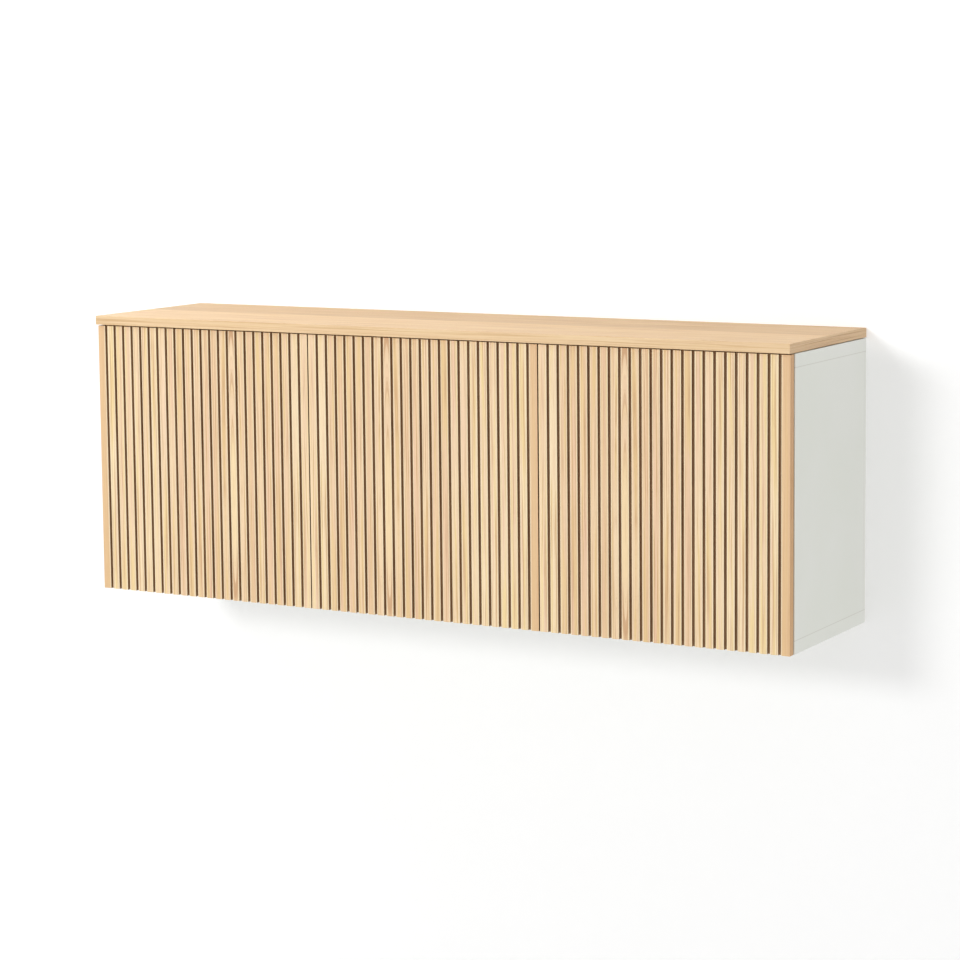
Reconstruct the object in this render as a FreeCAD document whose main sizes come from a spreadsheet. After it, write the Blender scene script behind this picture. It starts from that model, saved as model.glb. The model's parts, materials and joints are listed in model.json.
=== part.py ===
"""Wall-hung media console: three cases, three slatted doors, one long top panel.

X runs along the width, the fronts face -Y, the wall is the plane Y = 0 and Z is up.
The origin lies on the wall plane, midway between the middle case's two wall holes.
Units are millimetres.
"""
import FreeCAD
import Part
import Sketcher
import os

V = FreeCAD.Vector
doc = FreeCAD.newDocument("media_console")

# --- driving dimensions -------------------------------------------------------------------
# Each line is one cell of the sheet: its alias and its value.
DIMENSIONS = [
    # case
    ("unit_width", 600), ("case_height", 638), ("case_depth", 398),
    ("side_thickness", 18), ("board_thickness", 29), ("back_thickness", 10),
    # top panel
    ("top_thickness", 21), ("top_overhang", 7.5), ("top_edge_chamfer", 0.6),
    # doors
    ("door_gap", 2), ("door_reveal", 1.5), ("door_drop", 1), ("panel_thickness", 12.5),
    ("slat_depth", 7.5), ("slat_count", 24), ("groove_width", 7), ("slat_chamfer", 0.5),
    # shelves
    ("shelf_thickness", 18), ("shelf_height", 310), ("shelf_side_clearance", 1),
    ("shelf_setback", 30), ("shelf_edge_chamfer", 0.5),
    ("pin_radius", 2.5), ("pin_depth", 8), ("pin_reach", 8), ("pin_front_inset", 60),
    ("pin_rear_inset", 40), ("fit_clearance", 0.05),
    # hanging rail and wall holes
    ("rail_height", 80), ("rail_thickness", 18), ("wall_hole_radius", 4.25),
    ("wall_hole_offset", 150),
    # cable cut-out
    ("cable_slot_length", 140), ("cable_slot_height", 50), ("cable_slot_lift", 25),
    # case fittings
    ("dowel_radius", 4), ("dowel_length", 35), ("dowel_in_board", 12),
    ("dowel_front_inset", 110), ("dowel_rear_inset", 110),
    ("cam_radius", 7.5), ("cam_depth", 12.5), ("cam_setback", 34), ("cam_recess", 0.3),
    ("cam_bolt_radius", 3.5), ("cam_bolt_in_board", 12),
    ("cam_front_inset", 50), ("cam_rear_inset", 50),
    # bolts that join neighbouring cases
    ("sleeve_radius", 4), ("joint_bolt_radius", 3), ("joint_head_radius", 7),
    ("joint_head_height", 2), ("joint_front_inset", 78), ("joint_rear_inset", 78),
    ("joint_end_inset", 95), ("joint_bolt_thread", 20),
    # screws
    ("top_screw_radius", 2), ("top_screw_head_radius", 4), ("top_screw_head_height", 3),
    ("top_screw_bite", 12), ("top_screw_side_inset", 110), ("top_screw_edge_inset", 90),
    ("pad_radius", 9), ("pad_thickness", 2),
    ("back_screw_radius", 1.75), ("back_screw_head_radius", 3.5),
    ("back_screw_head_height", 2), ("back_screw_bite", 20), ("back_screw_end_inset", 40),
    ("rail_screw_offset", 230), ("rail_screw_bite", 14),
    ("plate_screw_radius", 2.5), ("plate_screw_head_radius", 4),
    ("plate_screw_head_height", 1.5), ("plate_screw_bite", 11),
    ("cup_screw_radius", 1.75), ("cup_screw_head_radius", 3.3),
    ("cup_screw_head_height", 0.5), ("cup_screw_bite", 9),
    # hinges: places run inwards from the case's outer side and forwards from its front
    ("hinge_end_inset", 100), ("cup_centre", 23.5), ("cup_radius", 17.5), ("cup_wall", 1.5),
    ("cup_inner_depth", 10.6), ("cup_floor", 0.6), ("cup_bore_clearance", 0.1),
    ("wing_inner", 15), ("wing_outer", 32), ("wing_reach", 27), ("wing_thickness", 1),
    ("cup_screw_reach", 22.5),
    ("arm_pivot_in", 29), ("arm_pivot_front", -12), ("nose_pivot_in", 36),
    ("nose_pivot_front", 3.2), ("cup_pivot_in", 11.2), ("cup_pivot_front", 7.2),
    ("catch_pin_in", 16.2), ("catch_pin_front", 7.1), ("eye_in", 17), ("eye_front", 7.8),
    ("crank_top_in", 17.5), ("crank_top_front", 10.2),
    ("crank_elbow_in", 23.2), ("crank_elbow_front", 5),
    ("pivot_radius", 1), ("catch_pin_radius", 0.9), ("knuckle_radius", 2.3),
    ("link_half_width", 1.5), ("eye_hole_radius", 2.4), ("eye_radius", 3.6),
    ("inner_link_half", 1.8), ("slot_half", 2.1), ("arm_nose_half", 3.4),
    ("arm_nose_half_width", 2.6), ("link_inner_face", 3.9), ("link_plate", 1.5),
    ("cup_lug_gap", 0.4), ("cup_lug", 1.2), ("lug_radius", 1.8),
    ("catch_lug_inner", 2.2), ("catch_lug_outer", 3.4),
    ("arm_bar_half", 5.5), ("arm_bar_height", 10), ("arm_bar_front", 16),
    ("arm_bar_rear", 62), ("plate_thickness", 2.5), ("plate_front", 22),
    ("plate_rear", 52), ("plate_half", 25), ("plate_screw_reach", 16),
    ("plate_screw_setback", 37),
    # push latches
    ("latch_width", 16), ("latch_height", 14), ("latch_length", 52), ("latch_setback", 1),
    ("latch_side_inset", 60), ("plunger_radius", 3), ("plunger_length", 44),
    ("plunger_clearance", 0.1), ("plunger_gap", 0.3),
    ("strike_radius", 8), ("strike_thickness", 1),
]

sizes = doc.addObject("Spreadsheet::Sheet", "Sizes")
for row, (alias, number) in enumerate(DIMENSIONS, start=1):
    sizes.set("A%d" % row, alias)
    sizes.set("B%d" % row, str(number))
    sizes.setAlias("B%d" % row, alias)
doc.recompute()


def size(alias):
    """The value of one cell of the sheet."""
    return float(getattr(sizes, alias))


def cell(text):
    """An expression in which each alias is written with the sheet's name."""
    words = []
    for word in text.replace("(", " ( ").replace(")", " ) ").split():
        known = word.lstrip("-")
        sign = word[:len(word) - len(known)]
        words.append(sign + "Sizes." + known if known in ALIASES else word)
    return " ".join(words)


ALIASES = {alias for alias, number in DIMENSIONS}

# Expressions that several pieces share.
DOOR_WIDTH = "( unit_width - 2 * door_reveal )"
DOOR_HEIGHT = "( case_height - door_drop )"
INNER_WIDTH = "( unit_width - 2 * side_thickness )"
SIDE_HEIGHT = "( case_height - 2 * board_thickness )"
SIDE_DEPTH = "( case_depth - back_thickness )"
PANEL_FRONT = "( case_depth + door_gap + panel_thickness )"
SLAT_PITCH = "( unit_width / slat_count )"
EDGE_SLAT_WIDTH = "( %s - groove_width / 2 - door_reveal )" % SLAT_PITCH

# Heights are counted from the underside of the cases, and the origin is this far above it.
ORIGIN_HEIGHT = "( case_height - board_thickness - rail_height / 2 )"

# Each case: its name, its left edge counted in case widths, and the side its door hangs on.
UNITS = [("left", -1.5, 1), ("middle", -0.5, 1), ("right", 0.5, -1)]

pieces = {}


def keep(name, piece):
    """Gives a finished sub-part its label and notes it for the export."""
    piece.Label = name
    pieces[name] = piece
    return piece


def bind(piece, **formulas):
    """Binds properties, written with two underscores for a dot, to cells of the sheet."""
    for prop, formula in formulas.items():
        piece.setExpression(prop.replace("__", "."), cell(formula))


def place(piece, x, y, z):
    """Binds the piece's position, its height counted from the underside of the cases."""
    bind(piece, Placement__Base__x=x, Placement__Base__y=y,
         Placement__Base__z="%s - %s" % (z, ORIGIN_HEIGHT))


# --- sketches and bodies ------------------------------------------------------------------
def new_sketch(body, name, role):
    """A sketch on one of the body's own origin planes."""
    sketch = body.newObject("Sketcher::SketchObject", name)
    plane = [item for item in body.Origin.OriginFeatures if item.Role == role][0]
    sketch.AttachmentSupport = [(plane, "")]
    sketch.MapMode = "FlatFace"
    return sketch


def axis_of(body, role):
    return [item for item in body.Origin.OriginFeatures if item.Role == role][0]


def draw_rectangle(sketch, width, height, left="0", low="0"):
    """A rectangle whose lower left corner and sides are bound to the sheet."""
    first = sketch.GeometryCount
    corners = [V(1, 1, 0), V(2, 1, 0), V(2, 2, 0), V(1, 2, 0)]
    for index in range(4):
        sketch.addGeometry(Part.LineSegment(corners[index], corners[(index + 1) % 4]), False)
    for index in range(4):
        following = first + (index + 1) % 4
        sketch.addConstraint(Sketcher.Constraint("Coincident", first + index, 2, following, 1))
    for index, kind in enumerate(["Horizontal", "Vertical", "Horizontal", "Vertical"]):
        sketch.addConstraint(Sketcher.Constraint(kind, first + index))
    bound = [("DistanceX", (-1, 1, first, 1), 1, left), ("DistanceY", (-1, 1, first, 1), 1, low),
             ("DistanceX", (first, 1, first, 2), 1, width),
             ("DistanceY", (first + 1, 1, first + 1, 2), 1, height)]
    for kind, ends, start, formula in bound:
        number = sketch.addConstraint(Sketcher.Constraint(kind, *ends, start))
        sketch.setExpression("Constraints[%d]" % number, cell(formula))


def draw_circle(sketch, radius, x, y):
    """A circle whose centre and radius are bound to the sheet."""
    item = sketch.addGeometry(Part.Circle(V(1, 1, 0), V(0, 0, 1), 1), False)
    number = sketch.addConstraint(Sketcher.Constraint("Radius", item, 1))
    sketch.setExpression("Constraints[%d]" % number, cell(radius))
    for kind, formula in (("DistanceX", x), ("DistanceY", y)):
        number = sketch.addConstraint(Sketcher.Constraint(kind, -1, 1, item, 3, 1))
        sketch.setExpression("Constraints[%d]" % number, cell(formula))


def board(name, width, depth, height, x, y, z):
    """A plain rectangular board as a padded sketch, its corner with the least X, Y and Z placed."""
    body = doc.addObject("PartDesign::Body", name)
    sketch = new_sketch(body, name + "_outline", "XY_Plane")
    draw_rectangle(sketch, width, depth)
    pad = body.newObject("PartDesign::Pad", name + "_pad")
    pad.Profile = sketch
    bind(pad, Length=height)
    place(body, x, y, z)
    return body


def chamfer(body, name, distance, chosen):
    """Chamfers the edges for which chosen(edge) holds, and sets the body's tip."""
    doc.recompute()
    base = body.Tip
    edges = ["Edge%d" % (i + 1) for i, edge in enumerate(base.Shape.Edges) if chosen(edge)]
    feature = body.newObject("PartDesign::Chamfer", name)
    feature.Base = (base, edges)
    bind(feature, Size=distance)
    body.Tip = feature
    return feature


def pocket(body, name, sketch, depth, along_normal):
    """Cuts the sketch into the body, and checks that it took material away."""
    doc.recompute()
    before = body.Shape.Volume
    cut = body.newObject("PartDesign::Pocket", name)
    cut.Profile = sketch
    cut.Reversed = along_normal
    bind(cut, Length=depth)
    body.Tip = cut
    doc.recompute()
    if body.Shape.Volume >= before:
        raise RuntimeError(name + " cuts nothing")
    return cut


# --- cylinders for pins, screws, dowels and drillings --------------------------------------
TURNS = {"Z": FreeCAD.Rotation(), "X": FreeCAD.Rotation(V(0, 1, 0), 90),
         "Y": FreeCAD.Rotation(V(1, 0, 0), -90)}
drillings = {}


def rod(name, radius, length, axis, x, y, z):
    """A cylinder that starts at the given point and runs along +X, +Y or +Z."""
    item = doc.addObject("Part::Cylinder", name)
    item.Placement = FreeCAD.Placement(V(), TURNS[axis])
    bind(item, Radius=radius, Height=length)
    place(item, x, y, z)
    return item


def drill(boards, radius, length, axis, x, y, z):
    """Notes a hole, with the fit's clearance, in each of the named boards."""
    for name in boards:
        tools = drillings.setdefault(name, [])
        tools.append(rod(name + "_drill", radius + " + fit_clearance", length, axis, x, y, z))


def group(name, items):
    """Equal loose pieces as separate solids of one node."""
    cluster = doc.addObject("Part::Compound", name)
    cluster.Links = items
    return keep(name, cluster)


def fused(name, items):
    joined = doc.addObject("Part::MultiFuse", name)
    joined.Shapes = items
    return joined


def drilled(name, body):
    """The board with its noted holes cut."""
    tools = drillings.get(name)
    if not tools:
        return keep(name, body)
    bundle = doc.addObject("Part::Compound", name + "_drills")
    bundle.Links = tools
    result = doc.addObject("Part::Cut", name)
    result.Base = body
    result.Tool = bundle
    return keep(name, result)


def left_edge(steps):
    """The X of a case's left outer side."""
    return "( unit_width * %s )" % steps


# --- fittings inside the cases --------------------------------------------------------------
# Dowels and cam bolts stand upright where a side meets the top or bottom board, because the
# boards run over the ends of the sides. Each cam sits in the side's inner face.
dowels, cam_bolts, cams = [], [], []
for unit, steps, hand in UNITS:
    for side in ("case_left_side", "case_right_side"):
        if side == "case_left_side":
            x_mid = left_edge(steps) + " + side_thickness / 2"
            inner_face = left_edge(steps) + " + side_thickness"
            cam_x = bore_x = inner_face + " - cam_depth"
        else:
            x_mid = left_edge(steps) + " + unit_width - side_thickness / 2"
            inner_face = left_edge(steps) + " + unit_width - side_thickness"
            cam_x = inner_face + " + cam_recess"
            bore_x = inner_face + " - cam_recess"
        for end in ("bottom_board", "top_board"):
            low = end == "bottom_board"
            holders = [unit + "_" + side, unit + "_" + end]
            for y in ("-case_depth + dowel_front_inset", "-back_thickness - dowel_rear_inset"):
                z = "board_thickness - dowel_in_board" if low else \
                    "case_height - board_thickness + dowel_in_board - dowel_length"
                dowels.append(rod("dowel", "dowel_radius", "dowel_length", "Z", x_mid, y, z))
                drill(holders, "dowel_radius", "dowel_length", "Z", x_mid, y, z)
            for y in ("-case_depth + cam_front_inset", "-back_thickness - cam_rear_inset"):
                length = "cam_bolt_in_board + cam_setback - cam_radius"
                z = "board_thickness - cam_bolt_in_board" if low else \
                    "case_height - board_thickness - cam_setback + cam_radius"
                cam_bolts.append(rod("cam_bolt", "cam_bolt_radius", length, "Z", x_mid, y, z))
                drill(holders, "cam_bolt_radius", length, "Z", x_mid, y, z)
                z = "board_thickness + cam_setback" if low else \
                    "case_height - board_thickness - cam_setback"
                cams.append(rod("cam", "cam_radius", "cam_depth - cam_recess", "X", cam_x, y, z))
                drill(holders[:1], "cam_radius", "cam_depth + cam_recess", "X", bore_x, y, z)
group("dowels", dowels)
group("cam_bolts", cam_bolts)
group("cam_locks", cams)

# Sleeve bolts pull neighbouring cases together through both sides. The head of the sleeve
# lies on one inner face, and the head of the bolt on the other.
sleeves, joint_bolts = [], []
for unit, neighbour, steps in (("left", "middle", -0.5), ("middle", "right", 0.5)):
    holders = [unit + "_case_right_side", neighbour + "_case_left_side"]
    for y in ("-case_depth + joint_front_inset", "-back_thickness - joint_rear_inset"):
        for z in ("board_thickness + joint_end_inset",
                  "case_height - board_thickness - joint_end_inset"):
            x = left_edge(steps) + " - side_thickness"
            stem = rod("stem", "sleeve_radius", "2 * side_thickness", "X", x, y, z)
            head = rod("head", "joint_head_radius", "joint_head_height", "X",
                       x + " - joint_head_height", y, z)
            bore = rod("bore", "joint_bolt_radius + fit_clearance", "joint_bolt_thread", "X",
                       left_edge(steps) + " + side_thickness - joint_bolt_thread", y, z)
            sleeve = doc.addObject("Part::Cut", "sleeve")
            sleeve.Base = fused("sleeve_body", [stem, head])
            sleeve.Tool = bore
            sleeves.append(sleeve)
            shank = rod("shank", "joint_bolt_radius", "joint_bolt_thread", "X",
                        left_edge(steps) + " + side_thickness - joint_bolt_thread", y, z)
            head = rod("head", "joint_head_radius", "joint_head_height", "X",
                       left_edge(steps) + " + side_thickness", y, z)
            joint_bolts.append(fused("joint_bolt", [shank, head]))
            drill(holders, "sleeve_radius", "2 * side_thickness", "X", x, y, z)
group("connector_sleeves", sleeves)
group("connector_bolts", joint_bolts)

# Four pins carry each loose shelf.
pins = []
for unit, steps, hand in UNITS:
    for side in ("case_left_side", "case_right_side"):
        inner = "side_thickness - pin_depth" if side == "case_left_side" else \
            "unit_width - side_thickness - pin_reach"
        x = left_edge(steps) + " + " + inner
        for y in ("-case_depth + shelf_setback + pin_front_inset",
                  "-back_thickness - pin_rear_inset"):
            z = "shelf_height - pin_radius"
            pins.append(rod("pin", "pin_radius", "pin_depth + pin_reach", "X", x, y, z))
            drill([unit + "_" + side], "pin_radius", "pin_depth + pin_reach", "X", x, y, z)
group("shelf_pins", pins)

# The top panel is screwed on from inside the cases, through the top boards. Round pads between
# them hold it just clear of the cases.
top_screws, pads = [], []
for unit, steps, hand in UNITS:
    for across in ("top_screw_side_inset", "unit_width - top_screw_side_inset"):
        for y in ("-case_depth + top_screw_edge_inset", "-back_thickness - top_screw_edge_inset"):
            x = left_edge(steps) + " + " + across
            z = "case_height - board_thickness"
            reach = "board_thickness + pad_thickness + top_screw_bite"
            shank = rod("shank", "top_screw_radius", reach, "Z", x, y, z)
            head = rod("head", "top_screw_head_radius", "top_screw_head_height", "Z", x, y, z)
            top_screws.append(fused("top_screw", [shank, head]))
            pads.append(rod("pad", "pad_radius", "pad_thickness", "Z", x, y, "case_height"))
            drill([unit + "_top_board", "spacer_pads", "top_panel"], "top_screw_radius", reach,
                  "Z", x, y, z)
            drill([unit + "_top_board"], "top_screw_head_radius", "top_screw_head_height", "Z",
                  x, y, z)
group("top_panel_screws", top_screws)
pad_blanks = doc.addObject("Part::Compound", "spacer_pad_blanks")
pad_blanks.Links = pads
drilled("spacer_pads", pad_blanks)

# The back panel is screwed from behind to the sides and to the hanging rail.
back_screws = []
for unit, steps, hand in UNITS:
    places = []
    for side in ("case_left_side", "case_right_side"):
        across = "side_thickness / 2" if side == "case_left_side" else \
            "unit_width - side_thickness / 2"
        for z in ("board_thickness + back_screw_end_inset", "case_height / 2",
                  "case_height - board_thickness - back_screw_end_inset"):
            places.append((across, z, "back_screw_bite", unit + "_" + side))
    for across in ("unit_width / 2 - rail_screw_offset", "unit_width / 2 + rail_screw_offset"):
        z = "case_height - board_thickness - rail_height / 2"
        places.append((across, z, "rail_screw_bite", unit + "_hanging_rail"))
    for across, z, bite, holder in places:
        x = left_edge(steps) + " + " + across
        length = "back_thickness + " + bite
        shank = rod("shank", "back_screw_radius", length, "Y", x, "-( %s )" % length, z)
        head = rod("head", "back_screw_head_radius", "back_screw_head_height", "Y",
                   x, "-back_screw_head_height", z)
        back_screws.append(fused("back_screw", [shank, head]))
        drill([unit + "_back_panel", holder], "back_screw_radius", length, "Y",
              x, "-( %s )" % length, z)
        drill([unit + "_back_panel"], "back_screw_head_radius", "back_screw_head_height", "Y",
              x, "-back_screw_head_height", z)
group("back_panel_screws", back_screws)

# Two screws hold each hinge plate to the side that its door hangs on.
plate_screws = []
for unit, steps, hand in UNITS:
    side = "case_left_side" if hand > 0 else "case_right_side"
    outer = left_edge(steps) if hand > 0 else left_edge(steps) + " + unit_width"
    start = " + side_thickness - plate_screw_bite" if hand > 0 else \
        " - side_thickness - plate_thickness"
    head_start = " + side_thickness + plate_thickness" if hand > 0 else \
        " - side_thickness - plate_thickness - plate_screw_head_height"
    for hinge_z in ("hinge_end_inset", "%s - hinge_end_inset" % DOOR_HEIGHT):
        for reach in (" + plate_screw_reach", " - plate_screw_reach"):
            y = "-case_depth + plate_screw_setback"
            z = hinge_z + reach
            length = "plate_screw_bite + plate_thickness"
            shank = rod("shank", "plate_screw_radius", length, "X", outer + start, y, z)
            head = rod("head", "plate_screw_head_radius", "plate_screw_head_height", "X",
                       outer + head_start, y, z)
            plate_screws.append(fused("plate_screw", [shank, head]))
            drill([unit + "_" + side], "plate_screw_radius", length, "X", outer + start, y, z)
group("hinge_plate_screws", plate_screws)

# --- cases ----------------------------------------------------------------------------------
# The top and bottom boards are as wide as the case. The sides stand between them, and the
# back panel closes the rear between the boards, its edges flush with the sides.
for unit, steps, hand in UNITS:
    x = left_edge(steps)
    name = unit + "_bottom_board"
    drilled(name, board(name + "_blank", "unit_width", "case_depth", "board_thickness",
                        x, "-case_depth", "0"))
    name = unit + "_top_board"
    drilled(name, board(name + "_blank", "unit_width", "case_depth", "board_thickness",
                        x, "-case_depth", "case_height - board_thickness"))
    for side, shift in (("case_left_side", "0"), ("case_right_side", "unit_width - side_thickness")):
        name = unit + "_" + side
        drilled(name, board(name + "_blank", "side_thickness", SIDE_DEPTH, SIDE_HEIGHT,
                            x + " + " + shift, "-case_depth", "board_thickness"))

    # Back panel: a rounded slot near the bottom lets cables out, and two holes near the top
    # take the wall screws.
    name = unit + "_back_panel"
    back = board(name + "_blank", "unit_width", "back_thickness", SIDE_HEIGHT,
                 x, "-back_thickness", "board_thickness")
    slot = new_sketch(back, name + "_slot_outline", "XZ_Plane")
    draw_rectangle(slot, "cable_slot_length - cable_slot_height", "cable_slot_height",
                   "( unit_width - cable_slot_length + cable_slot_height ) / 2", "cable_slot_lift")
    pocket(back, name + "_slot", slot, "back_thickness", False)
    for end, sign in (("near", "-"), ("far", "+")):
        ring = new_sketch(back, name + "_slot_" + end, "XZ_Plane")
        draw_circle(ring, "cable_slot_height / 2",
                    "unit_width / 2 %s ( cable_slot_length - cable_slot_height ) / 2" % sign,
                    "cable_slot_lift + cable_slot_height / 2")
        pocket(back, name + "_slot_end_" + end, ring, "back_thickness", False)
    holes = new_sketch(back, name + "_wall_holes_outline", "XZ_Plane")
    for sign in ("-", "+"):
        draw_circle(holes, "wall_hole_radius", "unit_width / 2 %s wall_hole_offset" % sign,
                    "%s - rail_height / 2" % SIDE_HEIGHT)
    pocket(back, name + "_wall_holes", holes, "back_thickness", False)
    drilled(name, back)

    # Hanging rail: a strong strip under the top board that the wall screws pull on.
    name = unit + "_hanging_rail"
    rail = board(name + "_blank", INNER_WIDTH, "rail_thickness", "rail_height",
                 x + " + side_thickness", "-back_thickness - rail_thickness",
                 "case_height - board_thickness - rail_height")
    holes = new_sketch(rail, name + "_holes_outline", "XZ_Plane")
    for sign in ("-", "+"):
        draw_circle(holes, "wall_hole_radius", "%s / 2 %s wall_hole_offset" % (INNER_WIDTH, sign),
                    "rail_height / 2")
    pocket(rail, name + "_holes", holes, "rail_thickness", False)
    drilled(name, rail)

    # Shelf: loose on its pins, with broken front edges.
    name = unit + "_shelf"
    shelf = board(name, "%s - 2 * shelf_side_clearance" % INNER_WIDTH,
                  "%s - shelf_setback - shelf_side_clearance" % SIDE_DEPTH, "shelf_thickness",
                  x + " + side_thickness + shelf_side_clearance", "-case_depth + shelf_setback",
                  "shelf_height")
    chamfer(shelf, name + "_front_edges", "shelf_edge_chamfer",
            lambda edge: edge.BoundBox.YMax < 0.001 and edge.BoundBox.XLength > 1)
    keep(name, shelf)

# --- top panel ------------------------------------------------------------------------------
# One panel as long as the three cases, flush with the wall and proud of the doors in front.
top = board("top_panel_blank", "3 * unit_width", "%s + slat_depth + top_overhang" % PANEL_FRONT,
            "top_thickness", "-1.5 * unit_width", "-( %s + slat_depth + top_overhang )" % PANEL_FRONT,
            "case_height + pad_thickness")
chamfer(top, "top_panel_edges", "top_edge_chamfer", lambda edge: edge.BoundBox.YMax < 0.001)
drilled("top_panel", top)

# --- doors ----------------------------------------------------------------------------------
for unit, steps, hand in UNITS:
    door_x = left_edge(steps) + " + door_reveal"

    # Backing panel with two blind bores for the hinge cups.
    name = unit + "_door_panel"
    panel = board(name + "_blank", DOOR_WIDTH, "panel_thickness", DOOR_HEIGHT,
                  door_x, "-" + PANEL_FRONT, "0")
    bores = new_sketch(panel, name + "_bores_outline", "XZ_Plane")
    bores.AttachmentOffset = FreeCAD.Placement(V(0, 0, -size("panel_thickness")),
                                               FreeCAD.Rotation())
    bores.setExpression("AttachmentOffset.Base.z", cell("-panel_thickness"))
    bore_x = "cup_centre - door_reveal" if hand > 0 else \
        "unit_width - cup_centre - door_reveal"
    for bore_z in ("hinge_end_inset", "%s - hinge_end_inset" % DOOR_HEIGHT):
        draw_circle(bores, "cup_radius + cup_bore_clearance", bore_x, bore_z)
    pocket(panel, name + "_bores", bores, "cup_inner_depth + cup_floor + cup_bore_clearance",
           True)

    # Slats: upright strips with broken front edges. The grooves between them keep one pitch from
    # door to door, so the two slats at the door's edges are wider than the rest.
    name = unit + "_door_slats"
    slats = []
    for role, width, slat_x in (
            ("first", EDGE_SLAT_WIDTH, door_x),
            ("row", "( %s - groove_width )" % SLAT_PITCH,
             left_edge(steps) + " + %s + groove_width / 2" % SLAT_PITCH),
            ("last", EDGE_SLAT_WIDTH,
             left_edge(steps) + " + unit_width - door_reveal - %s" % EDGE_SLAT_WIDTH)):
        slat = board(name + "_" + role, width, "slat_depth", DOOR_HEIGHT, slat_x,
                     "-( %s + slat_depth )" % PANEL_FRONT, "0")
        chamfer(slat, name + "_" + role + "_edges", "slat_chamfer",
                lambda edge: edge.BoundBox.YMax < 0.001 and edge.BoundBox.ZLength > 1)
        slats.append(slat)
    doc.recompute()
    row = slats[1].newObject("PartDesign::LinearPattern", name + "_pattern")
    slats[1].AllowCompound = True
    row.Originals = [slats[1].Group[1], slats[1].Group[2]]
    row.Direction = (axis_of(slats[1], "X_Axis"), [""])
    row.Mode = "Spacing"
    bind(row, Offset=SLAT_PITCH, Occurrences="slat_count - 2")
    slats[1].Tip = row
    group(name, slats)

    # Screws through the wings of the cups.
    screws = []
    screw_x = left_edge(steps) + (" + cup_centre" if hand > 0 else " + unit_width - cup_centre")
    for hinge_z in ("hinge_end_inset", "%s - hinge_end_inset" % DOOR_HEIGHT):
        for reach in (" + cup_screw_reach", " - cup_screw_reach"):
            z = hinge_z + reach
            y = "-( case_depth + door_gap + cup_screw_bite )"
            shank = rod("shank", "cup_screw_radius", "cup_screw_bite + wing_thickness", "Y",
                        screw_x, y, z)
            head = rod("head", "cup_screw_head_radius", "cup_screw_head_height", "Y", screw_x,
                       "-( case_depth + door_gap - wing_thickness )", z)
            screws.append(fused("cup_screw", [shank, head]))
            drill([unit + "_door_panel"], "cup_screw_radius", "cup_screw_bite", "Y",
                  screw_x, y, z)
    group(unit + "_cup_screws", screws)
    drilled(unit + "_door_panel", panel)

    # Strike plate: the steel disc that the latch's plunger meets.
    free_x = left_edge(steps) + (" + unit_width - latch_side_inset" if hand > 0 else
                                 " + latch_side_inset")
    latch_z = "case_height - board_thickness - latch_height / 2"
    keep(unit + "_strike_plate",
         rod(unit + "_strike_plate", "strike_radius", "strike_thickness", "Y", free_x,
             "-( case_depth + door_gap )", latch_z))

# --- push latches ---------------------------------------------------------------------------
# A block under each top board, near the door's free edge, holds a sprung plunger.
latches = []
for unit, steps, hand in UNITS:
    free_x = left_edge(steps) + (" + unit_width - latch_side_inset" if hand > 0 else
                                 " + latch_side_inset")
    latch_z = "case_height - board_thickness - latch_height / 2"
    block = doc.addObject("Part::Box", "latch_block")
    bind(block, Length="latch_width", Width="latch_length", Height="latch_height")
    place(block, free_x + " - latch_width / 2", "-case_depth + latch_setback",
          "case_height - board_thickness - latch_height")
    tip = "-( case_depth + door_gap - strike_thickness - plunger_gap )"
    bore = rod("latch_bore", "plunger_radius + plunger_clearance",
               "plunger_length + plunger_gap", "Y", free_x, tip, latch_z)
    latch = doc.addObject("Part::Cut", "latch")
    latch.Base = block
    latch.Tool = bore
    latches.append(latch)
    keep(unit + "_latch_plunger",
         rod(unit + "_latch_plunger", "plunger_radius", "plunger_length", "Y", free_x, tip,
             latch_z))
group("latch_housings", latches)


# --- hinges -----------------------------------------------------------------------------------
# Concealed cup hinges, two to a door. Every profile is drawn in a plan view whose first axis
# runs inwards from the case's outer side and whose second runs forwards from the case's front.
class Plan:
    """Turns a hinge's plan view into the console's frame, for one case and one height."""

    def __init__(self, steps, hand, height):
        self.outer = size("unit_width") * (steps if hand > 0 else steps + 1)
        self.front = -size("case_depth")
        self.hand = hand
        origin = size("case_height") - size("board_thickness") - size("rail_height") / 2
        self.height = height - origin

    def point(self, inwards, forwards, up=0.0):
        return V(self.outer + self.hand * inwards, self.front - forwards, self.height + up)

    def disc(self, centre, radius, low, high):
        """An upright cylinder around a plan point, between two heights."""
        return Part.makeCylinder(radius, high - low, self.point(*centre, low), V(0, 0, 1))

    def block(self, inner, outer, rear, front, low, high):
        """An upright box between two plan corners and two heights."""
        first = self.point(inner, rear, low)
        second = self.point(outer, front, high)
        low_corner = V(min(first.x, second.x), min(first.y, second.y), min(first.z, second.z))
        return Part.makeBox(abs(first.x - second.x), abs(first.y - second.y),
                            abs(first.z - second.z), low_corner)

    def strip(self, points, half_width, low, high):
        """A flat bar of even width with round ends that follows the plan points."""
        bar = self.disc(points[0], half_width, low, high)
        for start, end in zip(points, points[1:]):
            run = V(end[0] - start[0], end[1] - start[1], 0)
            off = V(-run.y, run.x, 0).normalize() * half_width
            corners = [(start[0] + off.x, start[1] + off.y), (end[0] + off.x, end[1] + off.y),
                       (end[0] - off.x, end[1] - off.y), (start[0] - off.x, start[1] - off.y)]
            ring = [self.point(*corner, low) for corner in corners]
            face = Part.Face(Part.makePolygon(ring + ring[:1]))
            bar = bar.fuse([face.extrude(V(0, 0, high - low)),
                            self.disc(end, half_width, low, high)])
        return bar.removeSplitter()


def at(*names):
    """A plan point from two cells of the sheet."""
    return tuple(size(name) for name in names)


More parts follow.
